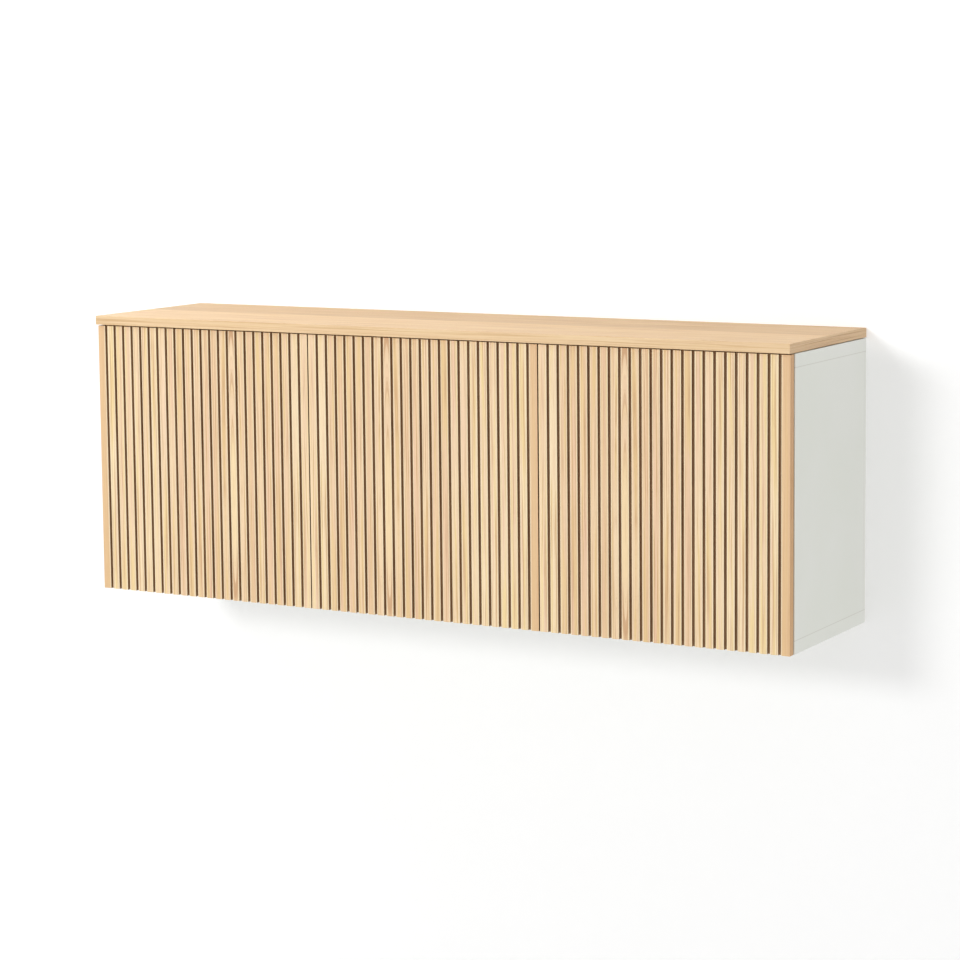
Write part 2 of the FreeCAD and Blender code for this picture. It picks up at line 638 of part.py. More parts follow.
ARM_PIVOT = at("arm_pivot_in", "arm_pivot_front")
NOSE_PIVOT = at("nose_pivot_in", "nose_pivot_front")
CUP_PIVOT = at("cup_pivot_in", "cup_pivot_front")
CATCH_PIN = at("catch_pin_in", "catch_pin_front")
EYE = at("eye_in", "eye_front")
CRANK = [CUP_PIVOT, at("crank_top_in", "crank_top_front"),
         at("crank_elbow_in", "crank_elbow_front"), ARM_PIVOT]


def make_outer_link(plan):
    """Two cranked plates on one pin through the arm, with a stub at each side of the cup."""
    inner = size("link_inner_face")
    outer = inner + size("link_plate")
    tip = outer + size("cup_lug_gap") + size("cup_lug")
    pin = plan.disc(ARM_PIVOT, size("pivot_radius"), -outer, outer)
    parts = []
    for low, high, far in ((inner, outer, tip), (-outer, -inner, -tip)):
        parts.append(plan.strip(CRANK, size("link_half_width"), low, high))
        parts.append(plan.disc(CUP_PIVOT, size("knuckle_radius"), low, high))
        parts.append(plan.disc(ARM_PIVOT, size("knuckle_radius"), low, high))
        parts.append(plan.disc(CUP_PIVOT, size("pivot_radius"), min(low, far), max(high, far)))
    return pin.fuse(parts).removeSplitter()


def make_inner_link(plan):
    """A flat link: a pin at the arm's nose, and a wide eye around the cup's catch pin."""
    half = size("inner_link_half")
    bar = plan.strip([NOSE_PIVOT, EYE], size("link_half_width"), -half, half)
    nose = size("arm_nose_half")
    body = bar.fuse([plan.disc(NOSE_PIVOT, size("knuckle_radius"), -half, half),
                     plan.disc(EYE, size("eye_radius"), -half, half),
                     plan.disc(NOSE_PIVOT, size("pivot_radius"), -nose, nose)])
    return body.cut(plan.disc(EYE, size("eye_hole_radius"), -half, half)).removeSplitter()


def make_arm(plan):
    """A bar along the side, and a slotted nose that reaches forwards into the cup."""
    base = size("side_thickness") + size("plate_thickness")
    half = size("arm_bar_half")
    bar = plan.block(base, base + size("arm_bar_height"), -size("arm_bar_rear"),
                     -size("arm_bar_front"), -half, half)
    nose_half = size("arm_nose_half")
    middle = base + size("arm_bar_height") / 2
    nose = plan.strip([(middle, -size("arm_bar_front") - half), ARM_PIVOT, NOSE_PIVOT],
                      size("arm_nose_half_width"), -nose_half, nose_half)
    floor = NOSE_PIVOT[1] - size("knuckle_radius") - size("cup_lug_gap")
    reach = size("arm_nose_half_width") + size("knuckle_radius")
    slot = plan.block(NOSE_PIVOT[0] - 2 * reach, NOSE_PIVOT[0] + 2 * reach, floor,
                      NOSE_PIVOT[1] + reach, -size("slot_half"), size("slot_half"))
    bore = size("pivot_radius") + size("fit_clearance")
    holes = [plan.disc(pivot, bore, -nose_half, nose_half) for pivot in (ARM_PIVOT, NOSE_PIVOT)]
    return bar.fuse(nose).cut([slot] + holes).removeSplitter()


def make_plate(plan):
    """The plate between arm and side, drilled for its screws."""
    side = size("side_thickness")
    plate = plan.block(side, side + size("plate_thickness"), -size("plate_rear"),
                       -size("plate_front"), -size("plate_half"), size("plate_half"))
    holes = []
    for reach in (size("plate_screw_reach"), -size("plate_screw_reach")):
        start = plan.point(side, -size("plate_screw_setback"), reach)
        holes.append(Part.makeCylinder(size("plate_screw_radius") + size("fit_clearance"),
                                       size("plate_thickness"), start, V(plan.hand, 0, 0)))
    return plate.cut(holes)


def make_cup(plan):
    """A round cup with two screwed wings, lugs for the outer link and a catch pin."""
    mouth = size("door_gap")
    depth = size("cup_inner_depth")
    floor = mouth + depth
    centre = plan.point(size("cup_centre"), 0)
    forwards = V(0, -1, 0)

    def turned(radius, start, length):
        return Part.makeCylinder(radius, length, centre + forwards * start, forwards)

    inner_radius = size("cup_radius") - size("cup_wall")
    shell = turned(size("cup_radius"), mouth, depth + size("cup_floor"))
    wings = plan.block(size("wing_inner"), size("wing_outer"), mouth - size("wing_thickness"),
                       mouth, -size("wing_reach"), size("wing_reach"))
    shell = shell.fuse(wings).cut(turned(inner_radius, 0, floor))
    lug_low = size("link_inner_face") + size("link_plate") + size("cup_lug_gap")
    lug_high = lug_low + size("cup_lug")
    lug = size("lug_radius")
    parts = []
    for sign in (1, -1):
        for pivot, low, high in ((CUP_PIVOT, lug_low, lug_high),
                                 (CATCH_PIN, size("catch_lug_inner"), size("catch_lug_outer"))):
            ends = sorted((sign * low, sign * high))
            parts.append(plan.block(pivot[0] - lug, pivot[0] + lug, pivot[1], floor, *ends))
            parts.append(plan.disc(pivot, lug, *ends))
    parts.append(plan.disc(CATCH_PIN, size("catch_pin_radius"), -size("catch_lug_outer"),
                           size("catch_lug_outer")))
    inside = turned(inner_radius + size("cup_wall") / 2, 0, floor + size("cup_floor") / 2)
    fittings = [part.common(inside) for part in parts]
    bore = size("pivot_radius") + size("fit_clearance")
    pivot_bore = plan.disc(CUP_PIVOT, bore, -lug_high, lug_high)
    screw_bores = []
    for reach in (size("cup_screw_reach"), -size("cup_screw_reach")):
        start = plan.point(size("cup_centre"), 0, reach)
        screw_bores.append(Part.makeCylinder(size("cup_screw_radius") + size("fit_clearance"),
                                             mouth, start, forwards))
    return shell.fuse(fittings).cut([pivot_bore] + screw_bores).removeSplitter()


def hinge_piece(name, make, units):
    """One node with a solid for each hinge of the given cases."""
    solids = []
    door_height = size("case_height") - size("door_drop")
    for unit, steps, hand in units:
        for height in (size("hinge_end_inset"), door_height - size("hinge_end_inset")):
            solids.append(make(Plan(steps, hand, height)))
    feature = doc.addObject("Part::Feature", name)
    feature.Shape = Part.makeCompound(solids)
    feature.Placement = FreeCAD.Placement()
    return keep(name, feature)


hinge_piece("hinge_arms", make_arm, UNITS)
hinge_piece("hinge_plates", make_plate, UNITS)
for entry in UNITS:
    hinge_piece(entry[0] + "_hinge_cups", make_cup, [entry])
    hinge_piece(entry[0] + "_outer_links", make_outer_link, [entry])
    hinge_piece(entry[0] + "_inner_links", make_inner_link, [entry])

# --- check and export -----------------------------------------------------------------------
doc.recompute()
for item in doc.Objects:
    if "Invalid" in item.State or "Error" in item.State:
        raise RuntimeError("%s failed: %s" % (item.Name, item.State))
os.makedirs("parts", exist_ok=True)
for name, piece in pieces.items():
    if piece.Shape.isNull() or not piece.Shape.isValid():
        raise RuntimeError(name + " has no valid shape")
for name, piece in pieces.items():
    piece.Shape.exportStep("parts/%s.step" % name)
print(len(pieces), "sub-parts")
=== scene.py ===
"""Wall-hung media console, dressed: three cases, three slatted doors and one long top panel.

Metres. X runs along the width, the fronts face -Y, the wall is the plane Y = 0 and Z is up.
"""

import json
import math
from collections import namedtuple

import bmesh
import bpy
from mathutils import Matrix, Vector


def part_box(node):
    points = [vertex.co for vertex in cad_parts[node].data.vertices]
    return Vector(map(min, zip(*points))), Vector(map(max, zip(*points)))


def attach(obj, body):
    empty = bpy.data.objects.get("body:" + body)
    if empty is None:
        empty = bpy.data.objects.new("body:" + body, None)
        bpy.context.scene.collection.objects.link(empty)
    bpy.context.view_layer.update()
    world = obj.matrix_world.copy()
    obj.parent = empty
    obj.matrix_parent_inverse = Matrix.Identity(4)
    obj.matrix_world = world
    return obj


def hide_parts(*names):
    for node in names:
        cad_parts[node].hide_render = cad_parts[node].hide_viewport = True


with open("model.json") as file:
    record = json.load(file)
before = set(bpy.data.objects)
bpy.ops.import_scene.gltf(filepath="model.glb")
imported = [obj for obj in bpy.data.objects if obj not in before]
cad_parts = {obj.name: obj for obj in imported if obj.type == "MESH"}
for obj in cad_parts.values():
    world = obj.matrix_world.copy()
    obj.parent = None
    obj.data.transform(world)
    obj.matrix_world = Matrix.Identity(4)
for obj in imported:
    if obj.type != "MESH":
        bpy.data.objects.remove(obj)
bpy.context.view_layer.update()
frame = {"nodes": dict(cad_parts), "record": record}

# --- case boards ----------------------------------------------------------------------------------
# Particle board wrapped in white foil. The top and bottom boards run the full width of a case
# and the sides stand between them, held by cam bolts and dowels. The foil rounds each arris a
# little, and a fine line of painted shade marks every joint between two boards.
UNITS = ("left", "middle", "right")
CASE_BOARDS = ("top_board", "bottom_board", "case_left_side", "case_right_side")
CASE_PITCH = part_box("middle_top_board")[1].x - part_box("middle_top_board")[0].x
CASE_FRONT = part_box("left_case_left_side")[0].y
LOWER_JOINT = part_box("left_bottom_board")[1].z
UPPER_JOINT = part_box("left_top_board")[0].z
REAR_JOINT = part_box("left_back_panel")[0].y
CASE_MIDDLE = (LOWER_JOINT + UPPER_JOINT) / 2
JOINT_LINE = (0.0004, 0.0011)
JOINT_SHADE = 0.4
REAR_JOINT_SHARE = 0.5
JOINT_TINT = (188, 182, 168)
FOIL_TINTS = ((239, 241, 232), (242, 243, 236))
FRONT_EDGE_HIGHLIGHT_DEPTH = 0.004
FRONT_EDGE_HIGHLIGHT_TINT = (253, 249, 238)
FOIL_ARRIS = 0.0006
SAME_POINT = 1e-6
FLAT_ANGLE = math.radians(0.5)
SHARP_ANGLE = math.radians(40)


def tint(red, green, blue):
    """A colour given in the usual 0 to 255 steps, as the shader wants it."""
    return tuple((c / 255 / 12.92) if c <= 10 else ((c / 255 + 0.055) / 1.055) ** 2.4
                 for c in (red, green, blue)) + (1.0,)


def step(tree, kind, feeds=(), **settings):
    """Adds a node, sets it up and feeds its inputs with values or with other nodes' sockets."""
    made = tree.nodes.new(kind)
    for name, value in settings.items():
        setattr(made, name, value)
    for name, value in dict(feeds).items():
        if isinstance(value, bpy.types.NodeSocket):
            tree.links.new(value, made.inputs[name])
        else:
            made.inputs[name].default_value = value
    return made


def sums(tree, operation, *values):
    """The result of one line of arithmetic."""
    return step(tree, "ShaderNodeMath", dict(enumerate(values)), operation=operation).outputs[0]


def product(tree, first, *others):
    """Values or shares multiplied with one another."""
    for other in others:
        first = sums(tree, "MULTIPLY", first, other)
    return first


def split(tree, where):
    """The three coordinates of a place."""
    return step(tree, "ShaderNodeSeparateXYZ", {0: where}).outputs


def facing(tree):
    """The three parts of the way that the surface faces."""
    return split(tree, step(tree, "ShaderNodeTexCoord").outputs["Normal"])


def graded(tree, value, low, high, start=0.0, end=1.0, smooth=True):
    """A value spread from one range to another and kept within it."""
    kind = "SMOOTHSTEP" if smooth else "LINEAR"
    return step(tree, "ShaderNodeMapRange", {"Value": value, "From Min": low, "From Max": high,
                                             "To Min": start, "To Max": end},
                interpolation_type=kind).outputs[0]


def evened(tree, value, start=0.0, end=1.0):
    """Noise, which seldom leaves the middle of its range, spread over the whole of another."""
    return graded(tree, value, 0.3, 0.7, start, end)


def beside(tree, place, plane, near, far):
    """1 within near of a plane, and 0 beyond far."""
    away = sums(tree, "ABSOLUTE", sums(tree, "SUBTRACT", place, plane))
    return graded(tree, away, near, far, 1.0, 0.0)


def mixed(tree, share, first, second):
    """Two colours mixed by a share."""
    return step(tree, "ShaderNodeMix", {0: share, 6: first, 7: second},
                data_type="RGBA").outputs[2]


def tinted(tree, colour, tone, *shares):
    """A colour taken towards a tone by the product of some shares."""
    return mixed(tree, product(tree, *shares), colour, tint(*tone))


def noise(tree, where, scale, detail=2.0, roughness=0.5):
    """Plain noise, from 0 to 1."""
    return step(tree, "ShaderNodeTexNoise", {"Vector": where, "Scale": scale, "Detail": detail,
                                             "Roughness": roughness}).outputs[0]


def new_finish(name, **constants):
    """A material with one shader, its constant sockets set, and the tree to build on."""
    finish = bpy.data.materials.new(name)
    finish.use_nodes = True
    tree = finish.node_tree
    shader = tree.nodes["Principled BSDF"]
    for socket, value in constants.items():
        shader.inputs[socket.replace("_", " ")].default_value = value
    where = step(tree, "ShaderNodeTexCoord").outputs["Object"]
    return finish, tree, shader, where


def coated(tree, shader, colour, roughness):
    """Feeds a colour and a roughness into the shader."""
    tree.links.new(colour, shader.inputs["Base Color"])
    tree.links.new(roughness, shader.inputs["Roughness"])


def bumped(tree, shader, height, strength, distance):
    """Feeds a height into the shader's normal."""
    bump = step(tree, "ShaderNodeBump", {"Height": height, "Strength": strength,
                                         "Distance": distance})
    tree.links.new(bump.outputs[0], shader.inputs["Normal"])


def white_foil():
    """White foil, faintly clouded and with a fine peel.

    A painted highlight makes it paler where it folds over a side's front edge, and painted
    shade darkens it along the boards' joints.
    """
    finish, tree, shader, where = new_finish("white_foil", IOR=1.45)
    across, depth, height = split(tree, where)
    faces = facing(tree)
    upright = sums(tree, "LESS_THAN", sums(tree, "ABSOLUTE", faces[2]), 0.5)
    sideways = sums(tree, "GREATER_THAN", sums(tree, "ABSOLUTE", faces[0]), 0.5)
    cloud = evened(tree, noise(tree, where, 3.5, 3))
    colour = tinted(tree, tint(*FOIL_TINTS[0]), FOIL_TINTS[1], cloud)
    # Painted highlight: the foil is paler along the front few millimetres of each side.
    front_edge_highlight = sums(tree, "LESS_THAN", depth, CASE_FRONT + FRONT_EDGE_HIGHLIGHT_DEPTH)
    colour = tinted(tree, colour, FRONT_EDGE_HIGHLIGHT_TINT, front_edge_highlight, sideways)
    from_middle = sums(tree, "ABSOLUTE", sums(tree, "SUBTRACT", height, CASE_MIDDLE))
    between = sums(tree, "LESS_THAN", from_middle, (UPPER_JOINT - LOWER_JOINT) / 2)
    on_rear = product(tree, between, REAR_JOINT_SHARE, sideways)
    # Painted shade: a fine darker line along each joint between two boards.
    for place, joint, shown in ((height, LOWER_JOINT, upright), (height, UPPER_JOINT, upright),
                                (sums(tree, "ABSOLUTE", across), CASE_PITCH / 2, 1.0),
                                (depth, REAR_JOINT, on_rear)):
        line = beside(tree, place, joint, *JOINT_LINE)
        colour = tinted(tree, colour, JOINT_TINT, line, shown, JOINT_SHADE)
    coated(tree, shader, colour, evened(tree, noise(tree, where, 40, 3), 0.42, 0.5))
    bumped(tree, shader, noise(tree, where, 900, 2), 0.12, 0.0002)
    return finish


FOIL = white_foil()
body_of_node = {node: body for body, nodes in frame["record"]["behaviour"]["bodies"].items()
                for node in nodes}


def whole(node):
    """The node's solid as an edit mesh with shared corners and undivided flat faces."""
    shape = bmesh.new()
    shape.from_mesh(frame["nodes"][node].data)
    for layer in list(shape.loops.layers.float_vector.values()):
        shape.loops.layers.float_vector.remove(layer)
    bmesh.ops.remove_doubles(shape, verts=shape.verts, dist=SAME_POINT)
    bmesh.ops.dissolve_limit(shape, angle_limit=FLAT_ANGLE, verts=shape.verts,
                             edges=shape.edges)
    return shape


def show(name, mesh, *nodes):
    """Puts a finished mesh in the scene in place of the nodes that it stands for."""
    piece = bpy.data.objects.new(name, mesh)
    bpy.context.scene.collection.objects.link(piece)
    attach(piece, body_of_node[nodes[0]])
    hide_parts(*nodes)
    return piece


def softened(node, arris, finish, segments=2):
    """Shows the node's solid with its edges broken and its finish on."""
    shape = whole(node)
    mesh = bpy.data.meshes.new(node + "_finished")
    shape.to_mesh(mesh)
    shape.free()
    for attribute in [item for item in mesh.attributes if item.name == "custom_normal"]:
        mesh.attributes.remove(attribute)
    for face in mesh.polygons:
        face.use_smooth = True
        face.material_index = 0
    mesh.materials.append(finish)
    edge = show(node + "_finished", mesh, node).modifiers.new("arris", "BEVEL")
    edge.width = arris
    edge.segments = segments
    edge.limit_method = "ANGLE"
    edge.angle_limit = SHARP_ANGLE
    edge.harden_normals = True


for unit in UNITS:
    for board in CASE_BOARDS:
        softened("%s_%s" % (unit, board), FOIL_ARRIS, FOIL)

# --- back panels, hanging rails and shelves -------------------------------------------------------
# The same foiled board. The back panel closes the rear of a case between its boards; the rail
# under the top board takes the wall screws; the shelf lies loose on its pins.
for unit in UNITS:
    for board in ("back_panel", "hanging_rail", "shelf"):
        softened("%s_%s" % (unit, board), FOIL_ARRIS, FOIL)

# --- top panel ------------------------------------------------------------------------------------
# One long board, veneered in two leaves laid side by side along its length, the rear leaf a
# little darker, and banded along its front and both ends with thicker strips of the same wood.
TOP_ARRIS = 0.0004
LEAF_JOINT = -0.212
LEAF_JOINT_LINE = (0.0001, 0.0005)
LEAF_JOINT_SHADE = 0.3
LEAF_JOINT_TINT = (190, 146, 98)
LACQUER_IOR = 1.46
SQUARE_ON = 0.8
# The cream, gold, rose and shade of each veneer, and the numbers that tell their sheets apart.
FRONT_LEAF = ((247, 213, 165), (240, 201, 148), (236, 196, 152), (217, 175, 126))
REAR_LEAF = ((231, 196, 148), (223, 184, 132), (220, 180, 137), (201, 160, 113))
FRONT_BAND = ((237, 208, 166), (231, 199, 153), (228, 193, 150), (209, 171, 124))
END_BAND = ((230, 198, 156), (222, 186, 140), (218, 180, 138), (190, 148, 104))
REAR_SHEET, BAND_SHEET, END_SHEET = 7.3, 3.1, 5.7
BAND_FINENESS = 2.0
Grain = namedtuple("Grain", "bands stripes streaks fibres pores")


def joined(tree, x, y, z):
    """A place put together from its three coordinates."""
    return step(tree, "ShaderNodeCombineXYZ", {0: x, 1: y, 2: z}).outputs[0]


def grain(tree, across, along, sheet):
    """Straight grain of pale birch that wanders slightly along the board, each part from 0 to 1."""
    wander = noise(tree, joined(tree, sums(tree, "MULTIPLY", across, 6.0), along, sheet), 2.2, 2)
    drawn = sums(tree, "MULTIPLY_ADD", wander, 0.011, across)

    def lines(run, scale, detail, roughness):
        """Noise that changes little along the board: the smaller the run, the longer the lines."""
        place = joined(tree, drawn, sums(tree, "MULTIPLY", along, run), sheet)
        return noise(tree, place, scale, detail, roughness)

    return Grain(bands=lines(0.03, 38, 2, 0.5), stripes=lines(0.016, 150, 2, 0.5),
                 streaks=lines(0.01, 300, 3, 0.6), fibres=lines(0.02, 1500, 2, 0.6),
                 pores=lines(0.05, 2600, 1, 0.5))


def birch_colour(tree, figure, veneer):
    """Cream, gold and rose bands, darkened along the streaks and in the pores."""
    colour, gold, rose, shade = (tint(*tone) for tone in veneer)
    for part, low, high, share, tone in (
            (figure.bands, 0.4, 0.6, 0.5, rose), (figure.stripes, 0.48, 0.6, 0.85, gold),
            (figure.stripes, 0.44, 0.34, 0.7, rose), (figure.streaks, 0.48, 0.64, 0.9, shade),
            (figure.fibres, 0.45, 0.8, 0.25, shade), (figure.pores, 0.66, 0.74, 0.35, shade)):
        colour = mixed(tree, graded(tree, part, low, high, 0.0, share), colour, tone)
    return colour


def lacquered(tree, shader, colour, figure, smooth, rough):
    """Matt lacquer over veneer: rougher along the streaks, and sunk into fibres and pores."""
    coated(tree, shader, colour, evened(tree, figure.streaks, smooth, rough))
    relief = sums(tree, "ADD", figure.fibres, sums(tree, "MULTIPLY", figure.pores, 0.6))
    bumped(tree, shader, relief, 0.25, 0.00012)


def top_veneer():
    """Two leaves of birch on the top, and the bands' own grain on the front and both ends."""
    finish, tree, shader, where = new_finish("birch_top_veneer", IOR=LACQUER_IOR)
    x, y, z = split(tree, where)
    faces = facing(tree)
    on_front = sums(tree, "LESS_THAN", faces[1], -SQUARE_ON)
    on_end = sums(tree, "GREATER_THAN", sums(tree, "ABSOLUTE", faces[0]), SQUARE_ON)
    rear = sums(tree, "GREATER_THAN", y, LEAF_JOINT)
    leaf = grain(tree, y, x, product(tree, rear, REAR_SHEET))
    colour = mixed(tree, rear, birch_colour(tree, leaf, FRONT_LEAF),
                   birch_colour(tree, leaf, REAR_LEAF))
    colour = tinted(tree, colour, LEAF_JOINT_TINT,
                    beside(tree, y, LEAF_JOINT, *LEAF_JOINT_LINE), LEAF_JOINT_SHADE)
    rise = product(tree, z, BAND_FINENESS)
    band = birch_colour(tree, grain(tree, rise, x, BAND_SHEET), FRONT_BAND)
    end = birch_colour(tree, grain(tree, rise, y, END_SHEET), END_BAND)
    colour = mixed(tree, on_end, mixed(tree, on_front, colour, band), end)
    lacquered(tree, shader, colour, leaf, 0.46, 0.56)
    return finish


softened("top_panel", TOP_ARRIS, top_veneer(), 3)

# --- door panels ----------------------------------------------------------------------------------
# The backing of each door: a board veneered on its back and edges. Its front is a darker brown
# and shows only as the floor of the grooves between the slats. The slats share its veneer.
DOOR_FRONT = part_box("left_door_slats")[0].y
PANEL_FRONT, PANEL_BACK = (corner.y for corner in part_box("left_door_panel"))
SLAT_COUNT = 24
SLAT_PITCH = CASE_PITCH / SLAT_COUNT
GROOVE = 0.007
SLAT_FACE_DEPTH = 0.0008
PANEL_ARRIS = 0.0003
HAIR = 0.0002
DOOR_SHEET = 1.7
PLAIN_WOOD = ((250, 230, 191), (242, 217, 155), (238, 202, 172), (209, 170, 124))
ROSE_WOOD = ((243, 216, 177), (231, 200, 141), (232, 190, 160), (200, 156, 114))
# The flame: its heart, counted from the door's middle, and how long it and its loops are drawn.
HEART_X, HEART_Z = -0.087, -0.06
LOOP_SQUEEZE, FLAME_SQUEEZE = 0.04, 0.075
FLAME_TINT = (247, 222, 174)
# What sets single slats and edges apart.
SLAT_TINT = (224, 184, 142)
LAST_SLAT_TINT = (224, 184, 138)
FIRST_EDGE = 0.011
FIRST_EDGE_TINT = (250, 225, 182)
GROOVE_ARRIS = (0.0006, 0.003)
ARRIS_HIGHLIGHT_TINT = (255, 242, 206)
GROOVE_BROWNS = ((180, 145, 108), (154, 119, 85))
SEAM_REACH = (0.0018, 0.0019)
SLAT_SEAM_SHADE = (112, 74, 38)
PANEL_SEAM_SHADE = (176, 126, 76)
OUTER_EDGE_TINT = (217, 170, 122)
REAR_ARRIS = (0.001, 0.0038)
REAR_EDGE_SHADE_TINT = (120, 84, 54)
END_GRAIN_AND_SHADE_TINT = (150, 108, 68)


def stretched(tree, where, scale, shift=(0.0, 0.0, 0.0)):
    """A place scaled and shifted along each axis."""
    return step(tree, "ShaderNodeMapping", {"Vector": where, "Location": shift,
                                            "Scale": scale}).outputs[0]


def door_veneer(unit):
    """Birch that runs on from slat to slat, with one pale flame; the grooves are brown."""
    low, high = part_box(unit + "_door_panel")
    middle = (low + high) / 2
    half_width = (high.x - low.x) / 2
    mirror = -1.0 if unit == "left" else 1.0
    finish, tree, shader, where = new_finish(unit + "_door_birch", IOR=LACQUER_IOR)
    x, y, z = split(tree, stretched(tree, where, (mirror, 1.0, 1.0),
                                    (-mirror * middle.x, 0.0, -middle.z)))
    heart_x = sums(tree, "SUBTRACT", x, HEART_X)

    def from_heart(squeeze):
        """The way to the flame's heart, with heights counted for less."""
        heart_z = product(tree, sums(tree, "SUBTRACT", z, HEART_Z), squeeze)
        return sums(tree, "SQRT", sums(tree, "ADD", product(tree, heart_x, heart_x),
                                       product(tree, heart_z, heart_z)))

    # Near the heart the grain closes around it in very long loops.
    around = from_heart(LOOP_SQUEEZE)
    near = graded(tree, around, 0.02, 0.07, 1.0, 0.0)
    across = sums(tree, "ADD", product(tree, x, sums(tree, "SUBTRACT", 1.0, near)),
                  product(tree, around, near))
    figure = grain(tree, across, z, DOOR_SHEET)
    plain = sums(tree, "MAXIMUM", graded(tree, x, 0.05, 0.13),
                 graded(tree, x, -0.29, -0.225, 1.0, 0.0, False))
    colour = mixed(tree, plain, birch_colour(tree, figure, ROSE_WOOD),
                   birch_colour(tree, figure, PLAIN_WOOD))
    colour = tinted(tree, colour, FLAME_TINT,
                    graded(tree, from_heart(FLAME_SQUEEZE), 0.007, 0.015, 0.8, 0.0))

    # Each slat has its own tone; the last is darker and the first paler at its outer edge.
    tone = step(tree, "ShaderNodeAttribute", attribute_name="slat_tone").outputs["Fac"]
    colour = tinted(tree, colour, SLAT_TINT, tone, 0.25)
    in_front = sums(tree, "LESS_THAN", y, PANEL_FRONT + HAIR)
    last_slat = sums(tree, "GREATER_THAN", x, half_width - SLAT_PITCH + GROOVE / 2)
    colour = tinted(tree, colour, LAST_SLAT_TINT, in_front, last_slat, 0.75)
    first_edge = graded(tree, x, -half_width, -half_width + FIRST_EDGE, 0.7, 0.0)
    colour = tinted(tree, colour, FIRST_EDGE_TINT, in_front, first_edge)

    # A painted highlight along the slats' arrises beside the grooves, and a darker brown in the
    # grooves.
    from_middle = sums(tree, "ABSOLUTE", x)
    from_groove = sums(tree, "SUBTRACT", sums(tree, "PINGPONG", from_middle, SLAT_PITCH / 2),
                       GROOVE / 2)
    # Painted highlight: paler colour within a few millimetres of each groove.
    arris = graded(tree, from_groove, *GROOVE_ARRIS, 0.8, 0.0)
    between_slats = sums(tree, "LESS_THAN", from_middle, half_width - SLAT_PITCH / 2)
    colour = tinted(tree, colour, ARRIS_HIGHLIGHT_TINT, arris, in_front, between_slats)
    # A darker brown over the floor and the sides of each groove.
    groove_brown = tinted(tree, tint(*GROOVE_BROWNS[0]), GROOVE_BROWNS[1], evened(tree, figure.streaks))
    in_groove = sums(tree, "GREATER_THAN", y, DOOR_FRONT + SLAT_FACE_DEPTH)
    inside = sums(tree, "LESS_THAN", from_middle, half_width - HAIR)
    colour = mixed(tree, product(tree, in_groove, in_front, inside), colour, groove_brown)

    # The upright edges, with painted shade at the seams between doors and towards the back, and
    # end grain, which is darker partly by its own colour and partly by painted shade.
    on_edge = product(tree, sums(tree, "SUBTRACT", 1.0, inside),
                      sums(tree, "GREATER_THAN", y, DOOR_FRONT + SLAT_FACE_DEPTH / 2), 0.9)
    # Painted shade: the edges that meet a neighbouring door are dark brown.
    at_seam = beside(tree, sums(tree, "ABSOLUTE", split(tree, where)[0]), CASE_PITCH / 2,
                     *SEAM_REACH)
    seam_shade = tinted(tree, tint(*PANEL_SEAM_SHADE), SLAT_SEAM_SHADE,
                       sums(tree, "LESS_THAN", y, PANEL_FRONT))
    edge = mixed(tree, at_seam, tint(*OUTER_EDGE_TINT), seam_shade)
    # Painted shade along the back of each upright edge, where the gap to the case is dark.
    edge = tinted(tree, edge, REAR_EDGE_SHADE_TINT, beside(tree, y, PANEL_BACK, *REAR_ARRIS), 0.75)
    colour = mixed(tree, on_edge, colour, edge)
    # End grain is darker, partly its own colour and partly painted shade, as in the gap under the
    # top panel.
    end_grain_and_shade = sums(tree, "GREATER_THAN", sums(tree, "ABSOLUTE", facing(tree)[2]), SQUARE_ON)
    colour = tinted(tree, colour, END_GRAIN_AND_SHADE_TINT, end_grain_and_shade, 0.7)
    lacquered(tree, shader, colour, figure, 0.48, 0.58)
    return finish


DOOR_BIRCH = {unit: door_veneer(unit) for unit in UNITS}
for unit in UNITS:
    softened(unit + "_door_panel", PANEL_ARRIS, DOOR_BIRCH[unit])

# --- slats ----------------------------------------------------------------------------------------
# Upright birch strips glued to the panel at an even pitch, their edges rounded by the sander. The
# first and the last are wider than the rest, on their outer sides.
SLAT_ARRIS = 0.0007
SLAT_SEED = 11


def new_recipe(name, lengths, counts):
    """A Geometry Nodes tree with named inputs for its sizes and its material."""
    tree = bpy.data.node_groups.new(name, "GeometryNodeTree")
    face = tree.interface
    face.new_socket("Geometry", in_out="INPUT", socket_type="NodeSocketGeometry")
    for title in lengths:
        face.new_socket(title, in_out="INPUT", socket_type="NodeSocketFloat")
    for title in counts:
        face.new_socket(title, in_out="INPUT", socket_type="NodeSocketInt")
    face.new_socket("Finish", in_out="INPUT", socket_type="NodeSocketMaterial")
    face.new_socket("Geometry", in_out="OUTPUT", socket_type="NodeSocketGeometry")
    return tree, step(tree, "NodeGroupInput").outputs, step(tree, "NodeGroupOutput").inputs


def made_by(recipe, host, values, name):
    """The plain mesh that a recipe makes on a host mesh with the given inputs."""
    carrier = bpy.data.objects.new(name + "_carrier", host)
    bpy.context.scene.collection.objects.link(carrier)
    modifier = carrier.modifiers.new(name, "NODES")
    modifier.node_group = recipe
    keys = {item.name: item.identifier for item in recipe.interface.items_tree
            if item.in_out == "INPUT"}
    for title, value in values.items():
        modifier[keys[title]] = value
    ready = carrier.evaluated_get(bpy.context.evaluated_depsgraph_get())
    mesh = bpy.data.meshes.new_from_object(ready)
    mesh.name = name
    bpy.data.objects.remove(carrier)
    shape = bmesh.new()
    shape.from_mesh(mesh)
    bmesh.ops.recalc_face_normals(shape, faces=shape.faces)
    shape.to_mesh(mesh)
    shape.free()
    for face in mesh.polygons:
        face.use_smooth = True
    mesh.set_sharp_from_angle(angle=SHARP_ANGLE)
    return mesh


